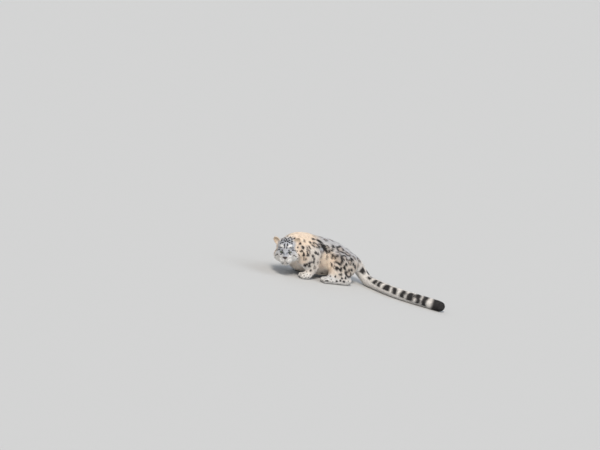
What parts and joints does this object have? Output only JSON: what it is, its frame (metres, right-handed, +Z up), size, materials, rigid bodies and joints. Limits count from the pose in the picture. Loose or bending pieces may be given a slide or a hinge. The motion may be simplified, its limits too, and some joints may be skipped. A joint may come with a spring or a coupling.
{
  "type": "snow leopard",
  "caption": "Life-size still model of a snow leopard, crouched with its head turned to its left and its long thick tail laid out behind.",
  "frame": {"origin": "middle of the footprint of the whole animal, on the floor under its feet", "axes": "+Z up, the animal's body faces -X and its left side faces -Y, the head is turned towards -X -Y"},
  "size_m": [1.4492, 0.8754, 0.3697],
  "materials": {
    "cream_fur": "thick soft fur, matte",
    "grey_fur": "thick soft fur, matte",
    "pale_fur": "thick soft fur, matte",
    "black_fur": "thick soft fur, matte",
    "eye": "glossy eyeball",
    "nose_leather": "bare moist skin, satin"
  },
  "bodies": {
    "root": {"head": "cream_fur", "neck": "cream_fur", "chest": "cream_fur", "foreleg_upper_left": "cream_fur", "foreleg_upper_right": "cream_fur", "forearm_left": "cream_fur", "forearm_right": "cream_fur", "thigh_left": "cream_fur", "thigh_right": "cream_fur", "shank_left": "cream_fur", "shank_right": "cream_fur", "rump": "grey_fur", "tail_base": "grey_fur", "tail_length_2": "grey_fur", "tail_length_3": "grey_fur", "tail_length_4": "grey_fur", "ear_left": "grey_fur", "ear_right": "grey_fur", "jaw": "pale_fur", "belly": "pale_fur", "forepaw_left": "pale_fur", "forepaw_right": "pale_fur", "hind_foot_left": "pale_fur", "hind_foot_right": "pale_fur", "tail_tip": "black_fur", "eye_left": "eye", "eye_right": "eye", "nose": "nose_leather"}
  },
  "joints": []
}
